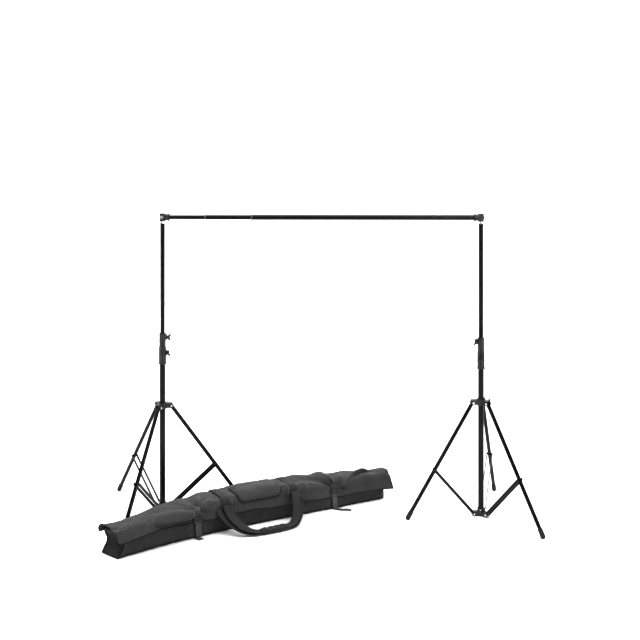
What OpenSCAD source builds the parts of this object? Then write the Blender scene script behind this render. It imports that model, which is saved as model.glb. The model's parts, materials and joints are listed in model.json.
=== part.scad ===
// Background support system: two folding stands, a telescopic crossbar and a carry bag.
// Millimetres, +Z up, +X along the crossbar from the left stand to the right one.

/* [Stance] */
// Distance between the two mast axes
span = 1600; // [1400:10:1700]
// Height of the crossbar's centre line above the floor
bar_height = 1488; // [1440:2:1520]
// Angle of the left stand's legs from the vertical
left_spread = 35.6; // [31:0.1:36]
// Angle of the right stand's legs from the vertical
right_spread = 30.9; // [30:0.1:36]
// Heading of the left stand's first leg
left_heading = 14.5; // [8:0.5:18]
// Heading of the right stand's first leg
right_heading = 70.65; // [60:0.05:80]

/* [Mast] */
// Outer diameter of the lower tube
lower_d = 28; // [27.6:0.1:28.4]
// Outer diameter of the middle tube
middle_d = 25; // [24.8:0.1:25]
// Outer diameter of the top tube
top_d = 22; // [21.8:0.1:22]
// Wall of every mast tube
mast_wall = 1.4; // [1.2:0.1:1.4]
// Length of the lower tube
lower_len = 767; // [750:1:767]
// Length of the middle tube
middle_len = 740; // [700:5:745]
// Length of the top tube
top_len = 800; // [760:5:805]

/* [Legs] */
// Outer diameter of a leg tube
leg_d = 19; // [18:0.5:19]
// Leg pivot to the centre of the ball of its foot
leg_len = 646; // [640:1:650]
// Leg pivot to the brace joint on the leg
brace_at = 381; // [378:1:384]
// Length of a brace between its two joints
brace_len = 300; // [298:1:302]
// Width of a brace strip
strip_w = 15; // [12:0.5:15]
// Thickness of a brace strip
strip_t = 2; // [1.5:0.1:2]

/* [Crossbar] */
// Outer diameter of the outer bar tube
bar_outer_d = 25.4; // [25.2:0.1:25.6]
// Outer diameter of the middle bar tube
bar_middle_d = 22.8; // [22.6:0.1:22.8]
// Outer diameter of the inner bar tube
bar_inner_d = 20.6; // [20.4:0.1:20.6]
// Where the outer tube's open end stands, from the middle of the bar
outer_open = -350; // [-400:5:-300]
// Where the middle tube's open end stands, from the middle of the bar
middle_open = -584; // [-620:1:-560]

/* [Bag] */
// Length of the carry bag
bag_len = 1440; // [1400:5:1440]
// Heading of the bag's long side
bag_yaw = 30; // [30:0.5:31]
// Depth of the bag at its ends
bag_end_w = 112; // [100:1:114]
// Extra depth at the bag's middle
bag_belly_w = 76; // [40:1:80]
// Height of the bag at its ends
bag_end_h = 126; // [110:1:130]
// Extra height at the bag's middle
bag_belly_h = 26; // [10:1:30]

/* [Hidden] */
$fn = 64;

black = [0.07, 0.07, 0.075];
plastic_black = [0.1, 0.1, 0.105];
rubber_black = [0.05, 0.05, 0.05];
bright = [0.78, 0.78, 0.8];
charcoal = [0.25, 0.25, 0.26];
webbing_grey = [0.2, 0.2, 0.21];

LEFT = 0;
RIGHT = 1;
// The floor point midway between the masts, seen from the middle of the floor that the kit covers
frame_shift = [25, 100, 0];
eps = 0.01;

// Running gap on the radius of a pin in its hole, and side gap between faces that turn past each other
pin_gap = 0.05;
side_gap = 0.3;

stand_x = [-span / 2, span / 2];
heading = [left_heading, right_heading];
spread = [left_spread, right_spread];

// Linkage: radii of the leg pivots and of the brace pivots, and the resulting heights
leg_pivot_r = 44;
brace_pivot_r = 40;
foot_r = 11.5;
foot_ball_z = 10.5;
function collar_z(s) = foot_ball_z + leg_len * cos(spread[s]);
function joint_r(s) = leg_pivot_r + brace_at * sin(spread[s]);
function joint_z(s) = collar_z(s) - brace_at * cos(spread[s]);
function hub_z(s) = joint_z(s) - sqrt(pow(brace_len, 2) - pow(joint_r(s) - brace_pivot_r, 2));
function brace_tilt(s) = asin((joint_r(s) - brace_pivot_r) / brace_len);

// Gap between the two strips of a brace, and the bolt that they turn on
strip_gap = 25;
hub_bolt_d = 5;
collar_bolt_d = 6;
ear_gap = leg_d + 0.6;
ear_t = 4;

// Mast heights above the hub pivots
tube_foot = -8;
lower_lock_foot = 719;
lower_lock_h = 80;
upper_lock_h = 75;
lock_gap = 0.5;
lower_seat = tube_foot + lower_len - lower_lock_foot;
upper_lock_foot = lower_lock_foot + lower_lock_h + lock_gap;
upper_seat = 38;
top_end_z = bar_height - 32;

// Lock and collar knobs: heading of each, and the distance of the knob's back from the mast axis
lower_knob_heading = [-25, 262];
upper_knob_heading = [-12, 215];
collar_knob_heading = [left_heading + 60, right_heading - 60];
lock_boss_r = 26;
collar_boss_r = 28;
knob_shank_d = 6;

// Crossbar sockets: reach of the socket along the bar, and where a bar tube ends
spigot_d = 16;
spigot_bore_d = 16.1;
barrel_d = 28;
socket_d = 31;
socket_reach = 28;
socket_lip_d = 37;
socket_lip = 6;
tube_back = 11;
slide_gap = 0.1;
bar_outer_bore = bar_middle_d + 2 * slide_gap;
bar_middle_bore = bar_inner_d + 2 * slide_gap;
bar_inner_bore = bar_inner_d - 2;
middle_tube_len = 1120;
inner_tube_len = 1100;
ring_lip = 3;
ring_grip = 5;

// ---------- helpers ----------

module at_stand(s) {
    translate(frame_shift + [stand_x[s], 0, 0])
        children();
}

// Turns a drawing in the radial plane (x outwards, y up) into a plate of width w on the plane
module radial_plate(w) {
    rotate([90, 0, 0])
        linear_extrude(height = w, center = true)
            children();
}

module tube(outer_d, bore_d, h) {
    difference() {
        cylinder(d = outer_d, h = h);
        translate([0, 0, -1])
            cylinder(d = bore_d, h = h + 2);
    }
}

// A pin across the radial plane
module cross_pin(d, w) {
    rotate([90, 0, 0])
        cylinder(d = d, h = w, center = true);
}

// Button head on one side, hex nut on the other, of a bolt that spans width w
module cross_bolt(d, w, head_d, head_h, nut_af, nut_h) {
    cross_pin(d, w);
    translate([0, -w / 2, 0])
        rotate([90, 0, 0])
            cylinder(d1 = head_d, d2 = head_d * 0.6, h = head_h, $fn = 32);
    translate([0, w / 2, 0])
        rotate([-90, 0, 0])
            cylinder(d = nut_af / cos(30), h = nut_h, $fn = 6);
}

// ---------- mast ----------

module lower_tube(s) {
    color(black)
        at_stand(s)
            translate([0, 0, hub_z(s) + tube_foot])
                tube(lower_d, lower_d - 2 * mast_wall, lower_len);
}

module middle_tube(s) {
    color(black)
        at_stand(s)
            translate([0, 0, hub_z(s) + upper_lock_foot + upper_seat - middle_len])
                tube(middle_d, middle_d - 2 * mast_wall, middle_len);
}

module top_tube(s) {
    color(black)
        at_stand(s)
            translate([0, 0, top_end_z - top_len])
                tube(top_d, top_d - 2 * mast_wall, top_len);
}

// Stud on a flanged plug that is pressed into the top tube
module spigot(s) {
    flange_h = 3;
    plug_h = 22;
    groove_z = 5;
    color(bright)
        at_stand(s)
            translate([0, 0, top_end_z]) {
                translate([0, 0, -plug_h])
                    cylinder(d = top_d - 2 * mast_wall, h = plug_h);
                cylinder(d = top_d, h = flange_h);
                difference() {
                    cylinder(d = spigot_d, h = bar_height + 12 - top_end_z);
                    translate([0, 0, flange_h + groove_z])
                        tube(spigot_d + 2, spigot_d - 2, 1.5);
                }
                translate([0, 0, bar_height + 12 - top_end_z])
                    cylinder(d1 = spigot_d, d2 = spigot_d - 2, h = 1);
            }
}

// Turned collar with a side boss for the knob; its lower bore grips one tube, its upper one guides the next
module lock(s, foot, h, body_d, seat, grip_d, guide_d, knob_heading, knob_z) {
    flange_h = 6;
    band_h = 5;
    boss_w = 19;
    boss_h = 26;
    slit_w = 2;
    color(plastic_black)
        at_stand(s)
            translate([0, 0, hub_z(s) + foot])
                rotate([0, 0, knob_heading])
                    difference() {
                        union() {
                            cylinder(d = body_d, h = h);
                            cylinder(d = body_d + 3, h = flange_h);
                            translate([0, 0, seat - band_h / 2])
                                cylinder(d = body_d + 1.6, h = band_h);
                            translate([0, 0, h - band_h])
                                cylinder(d = body_d + 1, h = band_h - 1);
                            translate([0, -boss_w / 2, knob_z - boss_h / 2])
                                cube([lock_boss_r - 3, boss_w, boss_h]);
                            translate([0, 0, knob_z])
                                rotate([0, 90, 0])
                                    cylinder(d = boss_w - 3, h = lock_boss_r);
                        }
                        translate([0, 0, -1])
                            cylinder(d = grip_d, h = seat + 1);
                        cylinder(d = guide_d, h = h + 1);
                        translate([0, 0, knob_z])
                            rotate([0, 90, 0])
                                cylinder(d = knob_shank_d + 2 * pin_gap, h = lock_boss_r + 1);
                        translate([-body_d, -slit_w / 2, seat + 4])
                            cube([body_d, slit_w, h]);
                    }
}

lower_knob_z = 58;
upper_knob_z = 56;

module lower_lock(s) {
    lock(s, lower_lock_foot, lower_lock_h, 36.5, lower_seat, lower_d, middle_d + 2 * slide_gap,
         lower_knob_heading[s], lower_knob_z);
}

module upper_lock(s) {
    lock(s, upper_lock_foot, upper_lock_h, 32.5, upper_seat, middle_d, top_d + 2 * slide_gap,
         upper_knob_heading[s], upper_knob_z);
}

// Wing knob on a threaded shank, drawn along +X with its back face at back_r and its tip at tip_r
module wing_knob(tip_r, back_r, tilt) {
    hub_d = 15;
    hub_h = 11;
    wing_t = 5;
    wing_reach = 17;
    wing_tip_r = 4.5;
    color(plastic_black)
        rotate([tilt, 0, 0]) {
            translate([tip_r, 0, 0])
                rotate([0, 90, 0])
                    cylinder(d = knob_shank_d, h = back_r - tip_r + 1);
            translate([back_r, 0, 0])
                rotate([0, 90, 0])
                    cylinder(d1 = hub_d - 3, d2 = hub_d, h = hub_h);
            for (side = [-1, 1])
                rotate([90, 0, 0])
                    linear_extrude(height = wing_t, center = true)
                        hull() {
                            translate([back_r + 6, side * 3])
                                circle(r = 4.5, $fn = 24);
                            translate([back_r + 13, side * (wing_reach - wing_tip_r)])
                                circle(r = wing_tip_r, $fn = 24);
                        }
        }
}

module lower_lock_knob(s) {
    at_stand(s)
        translate([0, 0, hub_z(s) + lower_lock_foot + lower_knob_z])
            rotate([0, 0, lower_knob_heading[s]])
                wing_knob(middle_d / 2 + side_gap, lock_boss_r + side_gap, 24);
}

module upper_lock_knob(s) {
    at_stand(s)
        translate([0, 0, hub_z(s) + upper_lock_foot + upper_knob_z])
            rotate([0, 0, upper_knob_heading[s]])
                wing_knob(top_d / 2 + side_gap, lock_boss_r + side_gap, -18);
}

// ---------- legs, collar and hub ----------

// Outline of one clevis in the radial plane, round about the leg pivot
module clevis_outline(top_z) {
    pivot_round = 9.5;
    low_z = -9.2;
    nose_r = 50;
    translate([15, low_z])
        square([leg_pivot_r - 15, top_z - low_z]);
    translate([leg_pivot_r - 1, 0])
        square([nose_r - leg_pivot_r + 1, top_z]);
    translate([leg_pivot_r, 0])
        circle(r = pivot_round);
}

module leg_collar(s) {
    ring_d = 42;
    ring_low = -13;
    ring_high = 16;
    neck_h = 4;
    web_z = 11.6;
    clevis_high = 15;
    inner_web_r = 27;
    knob_z = 2;
    color(plastic_black)
        at_stand(s)
            translate([0, 0, collar_z(s)])
                difference() {
                    union() {
                        translate([0, 0, ring_low])
                            cylinder(d = ring_d, h = ring_high - ring_low);
                        translate([0, 0, ring_low])
                            cylinder(d = ring_d - 6, h = ring_high + neck_h - ring_low);
                        for (i = [0:2])
                            rotate([0, 0, heading[s] + 120 * i])
                                radial_plate(ear_gap + 2 * ear_t)
                                    clevis_outline(clevis_high);
                        rotate([0, 0, collar_knob_heading[s]])
                            translate([16, 0, knob_z])
                                rotate([0, 90, 0])
                                    cylinder(d = 16, h = collar_boss_r - 16);
                    }
                    translate([0, 0, ring_low - 1])
                        cylinder(d = lower_d + 2 * slide_gap, h = 40);
                    for (i = [0:2])
                        rotate([0, 0, heading[s] + 120 * i]) {
                            translate([inner_web_r, -ear_gap / 2, -20])
                                cube([40, ear_gap, web_z + 20]);
                            translate([leg_pivot_r, 0, 0])
                                cross_pin(collar_bolt_d, 60);
                        }
                    rotate([0, 0, collar_knob_heading[s]])
                        translate([0, 0, knob_z])
                            rotate([0, 90, 0])
                                cylinder(d = knob_shank_d + 2 * pin_gap, h = 60);
                }
}

module collar_bolts(s) {
    color(bright)
        at_stand(s)
            translate([0, 0, collar_z(s)])
                for (i = [0:2])
                    rotate([0, 0, heading[s] + 120 * i])
                        translate([leg_pivot_r, 0, 0])
                            cross_bolt(collar_bolt_d, ear_gap + 2 * ear_t, 11, 3.4, 10, 4);
}

module collar_knob(s) {
    at_stand(s)
        translate([0, 0, collar_z(s) + 2])
            rotate([0, 0, collar_knob_heading[s]])
                wing_knob(lower_d / 2 + side_gap, collar_boss_r + side_gap, 40);
}

// Places a drawing at leg i's pivot, with -Z along the leg
module at_leg(s, i) {
    at_stand(s)
        translate([0, 0, collar_z(s)])
            rotate([0, 0, heading[s] + 120 * i])
                translate([leg_pivot_r, 0, 0])
                    rotate([0, -spread[s], 0])
                        children();
}

// Leg tube with its pivot hole, and a spacer through it that stops just short of the brace strips
module leg(s, i) {
    overrun = 6;
    wall = 1.2;
    tube_end = leg_len - 6;
    spacer_d = 10;
    spacer_w = strip_gap - 2 * side_gap;
    color(black)
        at_leg(s, i)
            difference() {
                union() {
                    translate([0, 0, -tube_end])
                        difference() {
                            cylinder(d = leg_d, h = tube_end + overrun);
                            translate([0, 0, -1])
                                cylinder(d = leg_d - 2 * wall, h = tube_end + overrun - 1);
                        }
                    translate([0, 0, -brace_at])
                        cross_pin(spacer_d, spacer_w);
                }
                cross_pin(collar_bolt_d + 2 * pin_gap, 40);
            }
}

// Rubber cap on the leg's end, flat where it meets the floor
module foot(s, i) {
    cap_h = 34;
    rim = 1.5;
    color(rubber_black)
        intersection() {
            at_leg(s, i)
                translate([0, 0, -leg_len])
                    difference() {
                        union() {
                            sphere(r = foot_r);
                            cylinder(r = foot_r, h = cap_h - rim);
                            translate([0, 0, cap_h - rim])
                                cylinder(r1 = foot_r, r2 = foot_r - rim, h = rim);
                        }
                        translate([0, 0, 6])
                            cylinder(d = leg_d, h = cap_h);
                    }
            translate([-2000, -2000, 0])
                cube([4000, 4000, 200]);
        }
}

module lower_hub(s) {
    sleeve_d = 36;
    sleeve_low = -11;
    sleeve_h = 35;
    lug_round = 9;
    lug_w = strip_gap - 2 * side_gap;
    screw_z = 17;
    color(plastic_black)
        at_stand(s)
            translate([0, 0, hub_z(s)])
                difference() {
                    union() {
                        translate([0, 0, sleeve_low])
                            cylinder(d = sleeve_d, h = sleeve_h);
                        for (i = [0:2])
                            rotate([0, 0, heading[s] + 120 * i])
                                radial_plate(lug_w) {
                                    translate([12, -lug_round])
                                        square([brace_pivot_r - 12, 2 * lug_round]);
                                    translate([brace_pivot_r, 0])
                                        circle(r = lug_round);
                                }
                    }
                    translate([0, 0, tube_foot])
                        cylinder(d = lower_d, h = 60);
                    for (i = [0:2])
                        rotate([0, 0, heading[s] + 120 * i])
                            translate([brace_pivot_r, 0, 0])
                                cross_pin(hub_bolt_d, 60);
                    rotate([0, 0, heading[s] + 180])
                        translate([0, 0, screw_z])
                            rotate([0, 90, 0])
                                cylinder(d = 4, h = 40);
                }
}

// Three brace pivot bolts, and the screw that fixes the hub on the tube
module hub_bolts(s) {
    span_w = strip_gap + 2 * strip_t + 2 * side_gap;
    screw_z = 17;
    color(bright)
        at_stand(s)
            translate([0, 0, hub_z(s)]) {
                for (i = [0:2])
                    rotate([0, 0, heading[s] + 120 * i])
                        translate([brace_pivot_r, 0, 0])
                            cross_bolt(hub_bolt_d, span_w, 10, 3, 8, 3.6);
                rotate([0, 0, heading[s] + 180])
                    translate([0, 0, screw_z])
                        rotate([0, 90, 0]) {
                            translate([0, 0, lower_d / 2])
                                cylinder(d = 4, h = 5);
                            translate([0, 0, 18])
                                cylinder(d1 = 8, d2 = 5, h = 2.4);
                        }
            }
}

// Two flat strips, with a riveted eye at the leg end and a free eye on the hub bolt
module brace(s, i) {
    rivet_d = 9;
    rivet_h = 2.4;
    color(black)
        at_stand(s)
            translate([0, 0, hub_z(s)])
                rotate([0, 0, heading[s] + 120 * i])
                    translate([brace_pivot_r, 0, 0])
                        rotate([0, brace_tilt(s), 0])
                            for (side = [-1, 1]) {
                                translate([0, side * (strip_gap + strip_t) / 2, 0])
                                    radial_plate(strip_t)
                                        difference() {
                                            union() {
                                                translate([-strip_w / 2, 0])
                                                    square([strip_w, brace_len]);
                                                circle(d = strip_w);
                                                translate([0, brace_len])
                                                    circle(d = strip_w);
                                            }
                                            circle(d = hub_bolt_d + 2 * pin_gap);
                                        }
                                translate([0, side * (strip_gap / 2 + strip_t), brace_len])
                                    rotate([-90 * side, 0, 0])
                                        cylinder(d1 = rivet_d, d2 = rivet_d * 0.6, h = rivet_h, $fn = 32);
                            }
}

// ---------- crossbar ----------

module at_bar() {
    translate(frame_shift + [0, 0, bar_height])
        rotate([0, 90, 0])
            children();
}

module bar_tube(x0, x1, outer_d, bore_d) {
    color(black)
        at_bar()
            translate([0, 0, x0])
                tube(outer_d, bore_d, x1 - x0);
}

module bar_outer_tube() {
    bar_tube(outer_open, stand_x[RIGHT] - tube_back, bar_outer_d, bar_outer_bore);
}

module bar_middle_tube() {
    bar_tube(middle_open, middle_open + middle_tube_len, bar_middle_d, bar_middle_bore);
}

module bar_inner_tube() {
    x0 = stand_x[LEFT] + tube_back;
    bar_tube(x0, x0 + inner_tube_len, bar_inner_d, bar_inner_bore);
}

// Ferrule over the open end of a bar tube
module bar_ring(x, tube_d, bore_d) {
    color(bright)
        at_bar()
            translate([0, 0, x])
                difference() {
                    translate([0, 0, -ring_lip])
                        cylinder(d = tube_d + 1.2, h = ring_lip + ring_grip);
                    translate([0, 0, -ring_lip - 1])
                        cylinder(d = bore_d, h = 20);
                    cylinder(d = tube_d, h = 20);
                }
}

module bar_outer_ring() {
    bar_ring(outer_open, bar_outer_d, bar_outer_bore);
}

module bar_middle_ring() {
    bar_ring(middle_open, bar_middle_d, bar_middle_bore);
}

screw_heading = [-90, 0];

// Moulded end: an upright barrel over the spigot and a lipped socket round the bar tube
module bar_socket(s, tube_d) {
    barrel_low = -20;
    barrel_high = 19;
    bore_high = 14;
    toward = s == LEFT ? 0 : 180;
    color(plastic_black)
        translate(frame_shift + [stand_x[s], 0, bar_height])
            rotate([0, 0, toward])
                difference() {
                    union() {
                        translate([0, 0, barrel_low])
                            cylinder(d = barrel_d, h = barrel_high - barrel_low - 2);
                        translate([0, 0, barrel_high - 2])
                            cylinder(d1 = barrel_d, d2 = barrel_d - 4, h = 2);
                        rotate([0, 90, 0])
                            cylinder(d = socket_d, h = socket_reach + eps);
                        translate([socket_reach, 0, 0])
                            rotate([0, 90, 0])
                                cylinder(d = socket_lip_d, h = socket_lip);
                        rotate([0, 0, screw_heading[s] - toward])
                            rotate([0, 90, 0])
                                cylinder(d = 13, h = barrel_d / 2 + 2.5);
                    }
                    translate([0, 0, barrel_low - 1])
                        cylinder(d = spigot_bore_d, h = bore_high - barrel_low + 1);
                    translate([tube_back, 0, 0])
                        rotate([0, 90, 0])
                            cylinder(d = tube_d, h = 60);
                    rotate([0, 0, screw_heading[s] - toward])
                        rotate([0, 90, 0])
                            cylinder(d = knob_shank_d + 2 * pin_gap, h = 40);
                }
}

module bar_left_socket() {
    bar_socket(LEFT, bar_inner_d);
}

module bar_right_socket() {
    bar_socket(RIGHT, bar_outer_d);
}

// Thumb screw with a fluted head and a bright centre boss
module bar_screw(s) {
    head_d = 19;
    head_h = 7;
    back_r = barrel_d / 2 + 2.5 + side_gap;
    flutes = 10;
    color(bright)
        translate(frame_shift + [stand_x[s], 0, bar_height])
            rotate([0, 0, screw_heading[s]])
                rotate([0, 90, 0]) {
                    translate([0, 0, spigot_d / 2 + side_gap])
                        cylinder(d = knob_shank_d, h = back_r - spigot_d / 2);
                    translate([0, 0, back_r])
                        difference() {
                            cylinder(d = head_d, h = head_h);
                            for (k = [0:flutes - 1])
                                rotate([0, 0, 360 / flutes * k])
                                    translate([head_d / 2 + 0.6, 0, -1])
                                        cylinder(d = 3, h = head_h + 2, $fn = 24);
                        }
                    translate([0, 0, back_r + head_h])
                        cylinder(d1 = 9, d2 = 6, h = 2.5);
                }
}

module bar_left_screw() {
    bar_screw(LEFT);
}

module bar_right_screw() {
    bar_screw(RIGHT);
}

// ---------- carry bag ----------

// Lies on the floor in front of the masts; x runs along its front from the left end, y goes back
bag_corner = [-918.4, -501.8, 0];
bend_from = 700;
bend_depth = 75;
bag_stations = 30;
strap_x = [393, 1136];
strap_half_w = 15;
skin = 3;
soft_gap = 0.6;
end_slant = 45;
slant_len = 110;

function bag_front(x) = x < bend_from ? -bend_depth * pow(1 - x / bend_from, 2) : 0;
function bag_w(x) = bag_end_w + bag_belly_w * pow(sin(180 * x / bag_len), 1.2);
function bag_h(x) = bag_end_h + bag_belly_h * sin(180 * x / bag_len);
function flap_edge(x) = 80 - 30 * pow(x / bag_len, 2);

// The left end is slanted: its back reaches further out than its front
function slant(x, y) =
    x < slant_len ? -end_slant * (y - bag_front(x)) / bag_w(x) * pow(1 - x / slant_len, 2) : 0;

module at_bag() {
    translate(frame_shift + bag_corner)
        rotate([0, 0, bag_yaw])
            children();
}

// Quarter round of radius r about (cy, cz), from angle a0 to a1
function round_pts(cy, cz, r, a0, a1, n = 4) =
    [for (k = [0:n]) let (a = a0 + (a1 - a0) * k / n) [cy + r * cos(a), cz + r * sin(a)]];

// Outline of the bag's body inside the flap at station x, as [y, z] points
function body_outline(x, grow) =
    let (w = bag_w(x), h = bag_h(x), y0 = bag_front(x), m = skin + soft_gap - grow, r = 24 + grow)
    concat(
        round_pts(y0 + m + 8, 8, 8, 270, 180, 2),
        round_pts(y0 + m + r, h - m - r, r, 180, 90),
        round_pts(y0 + w - m - r, h - m - r, r, 90, 0),
        round_pts(y0 + w - m - 8, 8, 8, 0, -90, 2)
    );

// Solid swept through rings of equal point count, given as a list of rings of [x, y, z]
module skin_solid(rings) {
    n = len(rings[0]);
    m = len(rings);
    sides = [
        for (i = [0:m - 2], k = [0:n - 1])
            let (a = i * n + k, b = i * n + (k + 1) % n)
            each [[a, b, b + n], [a, b + n, a + n]]
    ];
    first = [for (k = [n - 1:-1:0]) k];
    last = [for (k = [0:n - 1]) (m - 1) * n + k];
    polyhedron(points = [for (ring = rings) each ring], faces = concat([first], sides, [last]));
}

module bag_body() {
    color(charcoal)
        at_bag()
            skin_solid([
                for (i = [0:bag_stations])
                    let (x = bag_len * i / bag_stations)
                    [for (p = body_outline(x, 0)) [x + slant(x, p[0]), p[0], p[1]]]
            ]);
}

// Band outline of the flap: over the back corner and the top, and down the front to its edge
function flap_side(x, off) =
    let (w = bag_w(x), h = bag_h(x), y0 = bag_front(x), m = skin - off, r = 24 + soft_gap + off)
    concat(
        [[y0 + w - m, h - 55]],
        round_pts(y0 + w - m - r, h - m - r, r, 0, 90),
        round_pts(y0 + m + r, h - m - r, r, 90, 180),
        [[y0 + m, flap_edge(x)]]
    );

function reversed(list) = [for (k = [len(list) - 1:-1:0]) list[k]];

function flap_band(x, inner, outer) = concat(flap_side(x, outer), reversed(flap_side(x, inner)));

module bag_flap() {
    overhang = 22;
    color(charcoal)
        at_bag()
            skin_solid([
                for (i = [0:bag_stations])
                    let (x = (bag_len + overhang) * i / bag_stations, xb = min(x, bag_len))
                    [for (p = reversed(flap_band(xb, 0, skin))) [x + slant(xb, p[0]), p[0], p[1]]]
            ]);
}

// Flat zipped pocket sewn on the top of the flap
module bag_pocket() {
    color(charcoal)
        at_bag()
            skin_solid([
                for (x = [610:20:830])
                    let (
                        edge = min((x - 600) / 40, (840 - x) / 40, 1),
                        z0 = bag_h(x) + skin + soft_gap,
                        y0 = bag_front(x) + 42,
                        y1 = bag_front(x) + bag_w(x) - 42
                    )
                    [[x, y0, z0], [x, y1, z0], [x, y1 - 8, z0 + 12 * edge], [x, y0 + 8, z0 + 12 * edge]]
            ]);
}

// Closing straps: from the top of the flap, down the front and just under the bag's edge
function strap_side(x, off) =
    let (y0 = bag_front(x), h = bag_h(x), m = skin - off, r = 24 + soft_gap + off)
    concat(
        [[y0 + 62, h - m]],
        round_pts(y0 + m + r, h - m - r, r, 90, 180),
        [[y0 + m, 4]]
    );

module strap_band(x, inner, outer) {
    translate([x - strap_half_w, 0, 0])
        rotate([90, 0, 90])
            linear_extrude(height = 2 * strap_half_w)
                polygon(concat(strap_side(x, outer), reversed(strap_side(x, inner))));
}

module bag_straps() {
    color(webbing_grey)
        at_bag()
            for (x = strap_x)
                strap_band(x, skin + 3, skin + 5);
}

// Ladder buckle on the front of each strap
module bag_buckles() {
    color(plastic_black)
        at_bag()
            for (x = strap_x)
                translate([x, bag_front(x) - 9, 96])
                    difference() {
                        translate([-20, -4, -16])
                            cube([40, 6, 32]);
                        for (z = [-11, 3])
                            translate([-16, -6, z])
                                cube([32, 10, 8]);
                    }
}

// Webbing handles, as routes of [along, back, height] points with the ribbon's flat side level
webbing_w = 36;
webbing_t = 3;
webbing_gap = 3;
grip_x0 = 668;
grip_len = 148;
grip_y = -122;
grip_z = 12.8;
grip_half_w = 24;
grip_half_h = 12.4;
lay = 3;

// Over the bag at station x: from height back_z on the back to height front_z on the front
function over_bag(x, back_z, front_z) =
    let (
        w = bag_w(x), h = bag_h(x), y0 = bag_front(x), off = webbing_t / 2 + webbing_gap,
        r = 27, c = r - off
    )
    concat(
        [[x, y0 + w + off, back_z], [x, y0 + w + off - 0.6, h - 42]],
        [for (p = round_pts(y0 + w - c, h - c, r, 15, 90, 3)) [x, p[0], p[1]]],
        [for (p = round_pts(y0 + c, h - c, r, 90, 165, 3)) [x, p[0], p[1]]],
        [[x, y0 - off - 1, front_z]]
    );

front_handle = concat(
    [[500, bag_front(500) - 3.6, 120], [500, -22, 102], [514, -44, 76], [546, -74, 46], [586, -100, 24]],
    [[626, -117, grip_z - lay]],
    [for (x = [655, 700, 780, 829]) [x, grip_y, grip_z - lay]],
    [[862, -108, 15], [896, -74, 32], [924, -42, 54], [940, -17, 74], [940, -6, 90]]
);
rear_handle = concat(
    over_bag(540, 75, 128),
    [[548, -36, 96], [572, -72, 62], [606, -103, 32], [634, -118, grip_z + lay + 3]],
    [for (x = [655, 700, 780, 829]) [x, grip_y, grip_z + lay]],
    [[856, -108, 28], [884, -76, 66], [900, -40, 104]],
    reversed(over_bag(906, 75, 134))
);

function unit(v) = v / norm(v);
function route_dir(pts, i) = unit(pts[min(i + 1, len(pts) - 1)] - pts[max(i - 1, 0)]);

// Flat ring across the route at point i, with its width level
function ribbon_ring(pts, i) =
    let (
        d = route_dir(pts, i),
        a = unit(cross([0, 0, 1], d)),
        b = cross(d, a)
    )
    [for (c = [[-1, -1], [1, -1], [1, 1], [-1, 1]]) pts[i] + a * c[0] * webbing_w / 2 + b * c[1] * webbing_t / 2];

module ribbon(pts) {
    skin_solid([for (i = [0:len(pts) - 1]) ribbon_ring(pts, i)]);
}

module bag_handles() {
    color(webbing_grey)
        at_bag() {
            ribbon(front_handle);
            ribbon(rear_handle);
        }
}

// Stadium ring of half width a and half height b in the plane across the grip
function grip_ring(x, a, b) =
    [for (k = [0:15])
        let (t = 22.5 * k + 11.25, c = cos(t), q = sin(t))
        [x, grip_y + a * sign(c) * pow(abs(c), 0.5), grip_z + b * sign(q) * pow(abs(q), 0.5)]];

// Padded sleeve that holds the two handles together
module bag_handle_grip() {
    wall_w = 4;
    wall_h = 6;
    rounding = 5;
    color(charcoal)
        at_bag()
            difference() {
                skin_solid([
                    grip_ring(grip_x0, grip_half_w - rounding, grip_half_h - rounding),
                    grip_ring(grip_x0 + rounding, grip_half_w, grip_half_h),
                    grip_ring(grip_x0 + grip_len - rounding, grip_half_w, grip_half_h),
                    grip_ring(grip_x0 + grip_len, grip_half_w - rounding, grip_half_h - rounding)
                ]);
                translate([grip_x0 - 1, grip_y - grip_half_w + wall_w, grip_z - grip_half_h + wall_h])
                    cube([grip_len + 2, 2 * (grip_half_w - wall_w), 2 * (grip_half_h - wall_h)]);
            }
}

// ---------- build ----------

lower_tube(LEFT);  // left_lower_tube
middle_tube(LEFT);  // left_middle_tube
top_tube(LEFT);  // left_top_tube
lower_hub(LEFT);  // left_lower_hub
hub_bolts(LEFT);  // left_hub_bolts
leg_collar(LEFT);  // left_leg_collar
collar_bolts(LEFT);  // left_collar_bolts
collar_knob(LEFT);  // left_collar_knob
lower_lock(LEFT);  // left_lower_lock
lower_lock_knob(LEFT);  // left_lower_lock_knob
upper_lock(LEFT);  // left_upper_lock
upper_lock_knob(LEFT);  // left_upper_lock_knob
spigot(LEFT);  // left_spigot
leg(LEFT, 0);  // left_leg_1
leg(LEFT, 1);  // left_leg_2
leg(LEFT, 2);  // left_leg_3
foot(LEFT, 0);  // left_foot_1
foot(LEFT, 1);  // left_foot_2
foot(LEFT, 2);  // left_foot_3
brace(LEFT, 0);  // left_brace_1
brace(LEFT, 1);  // left_brace_2
brace(LEFT, 2);  // left_brace_3
lower_tube(RIGHT);  // right_lower_tube
middle_tube(RIGHT);  // right_middle_tube
top_tube(RIGHT);  // right_top_tube
lower_hub(RIGHT);  // right_lower_hub
hub_bolts(RIGHT);  // right_hub_bolts
leg_collar(RIGHT);  // right_leg_collar
collar_bolts(RIGHT);  // right_collar_bolts
collar_knob(RIGHT);  // right_collar_knob
lower_lock(RIGHT);  // right_lower_lock
lower_lock_knob(RIGHT);  // right_lower_lock_knob
upper_lock(RIGHT);  // right_upper_lock
upper_lock_knob(RIGHT);  // right_upper_lock_knob
spigot(RIGHT);  // right_spigot
leg(RIGHT, 0);  // right_leg_1
leg(RIGHT, 1);  // right_leg_2
leg(RIGHT, 2);  // right_leg_3
foot(RIGHT, 0);  // right_foot_1
foot(RIGHT, 1);  // right_foot_2
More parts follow.
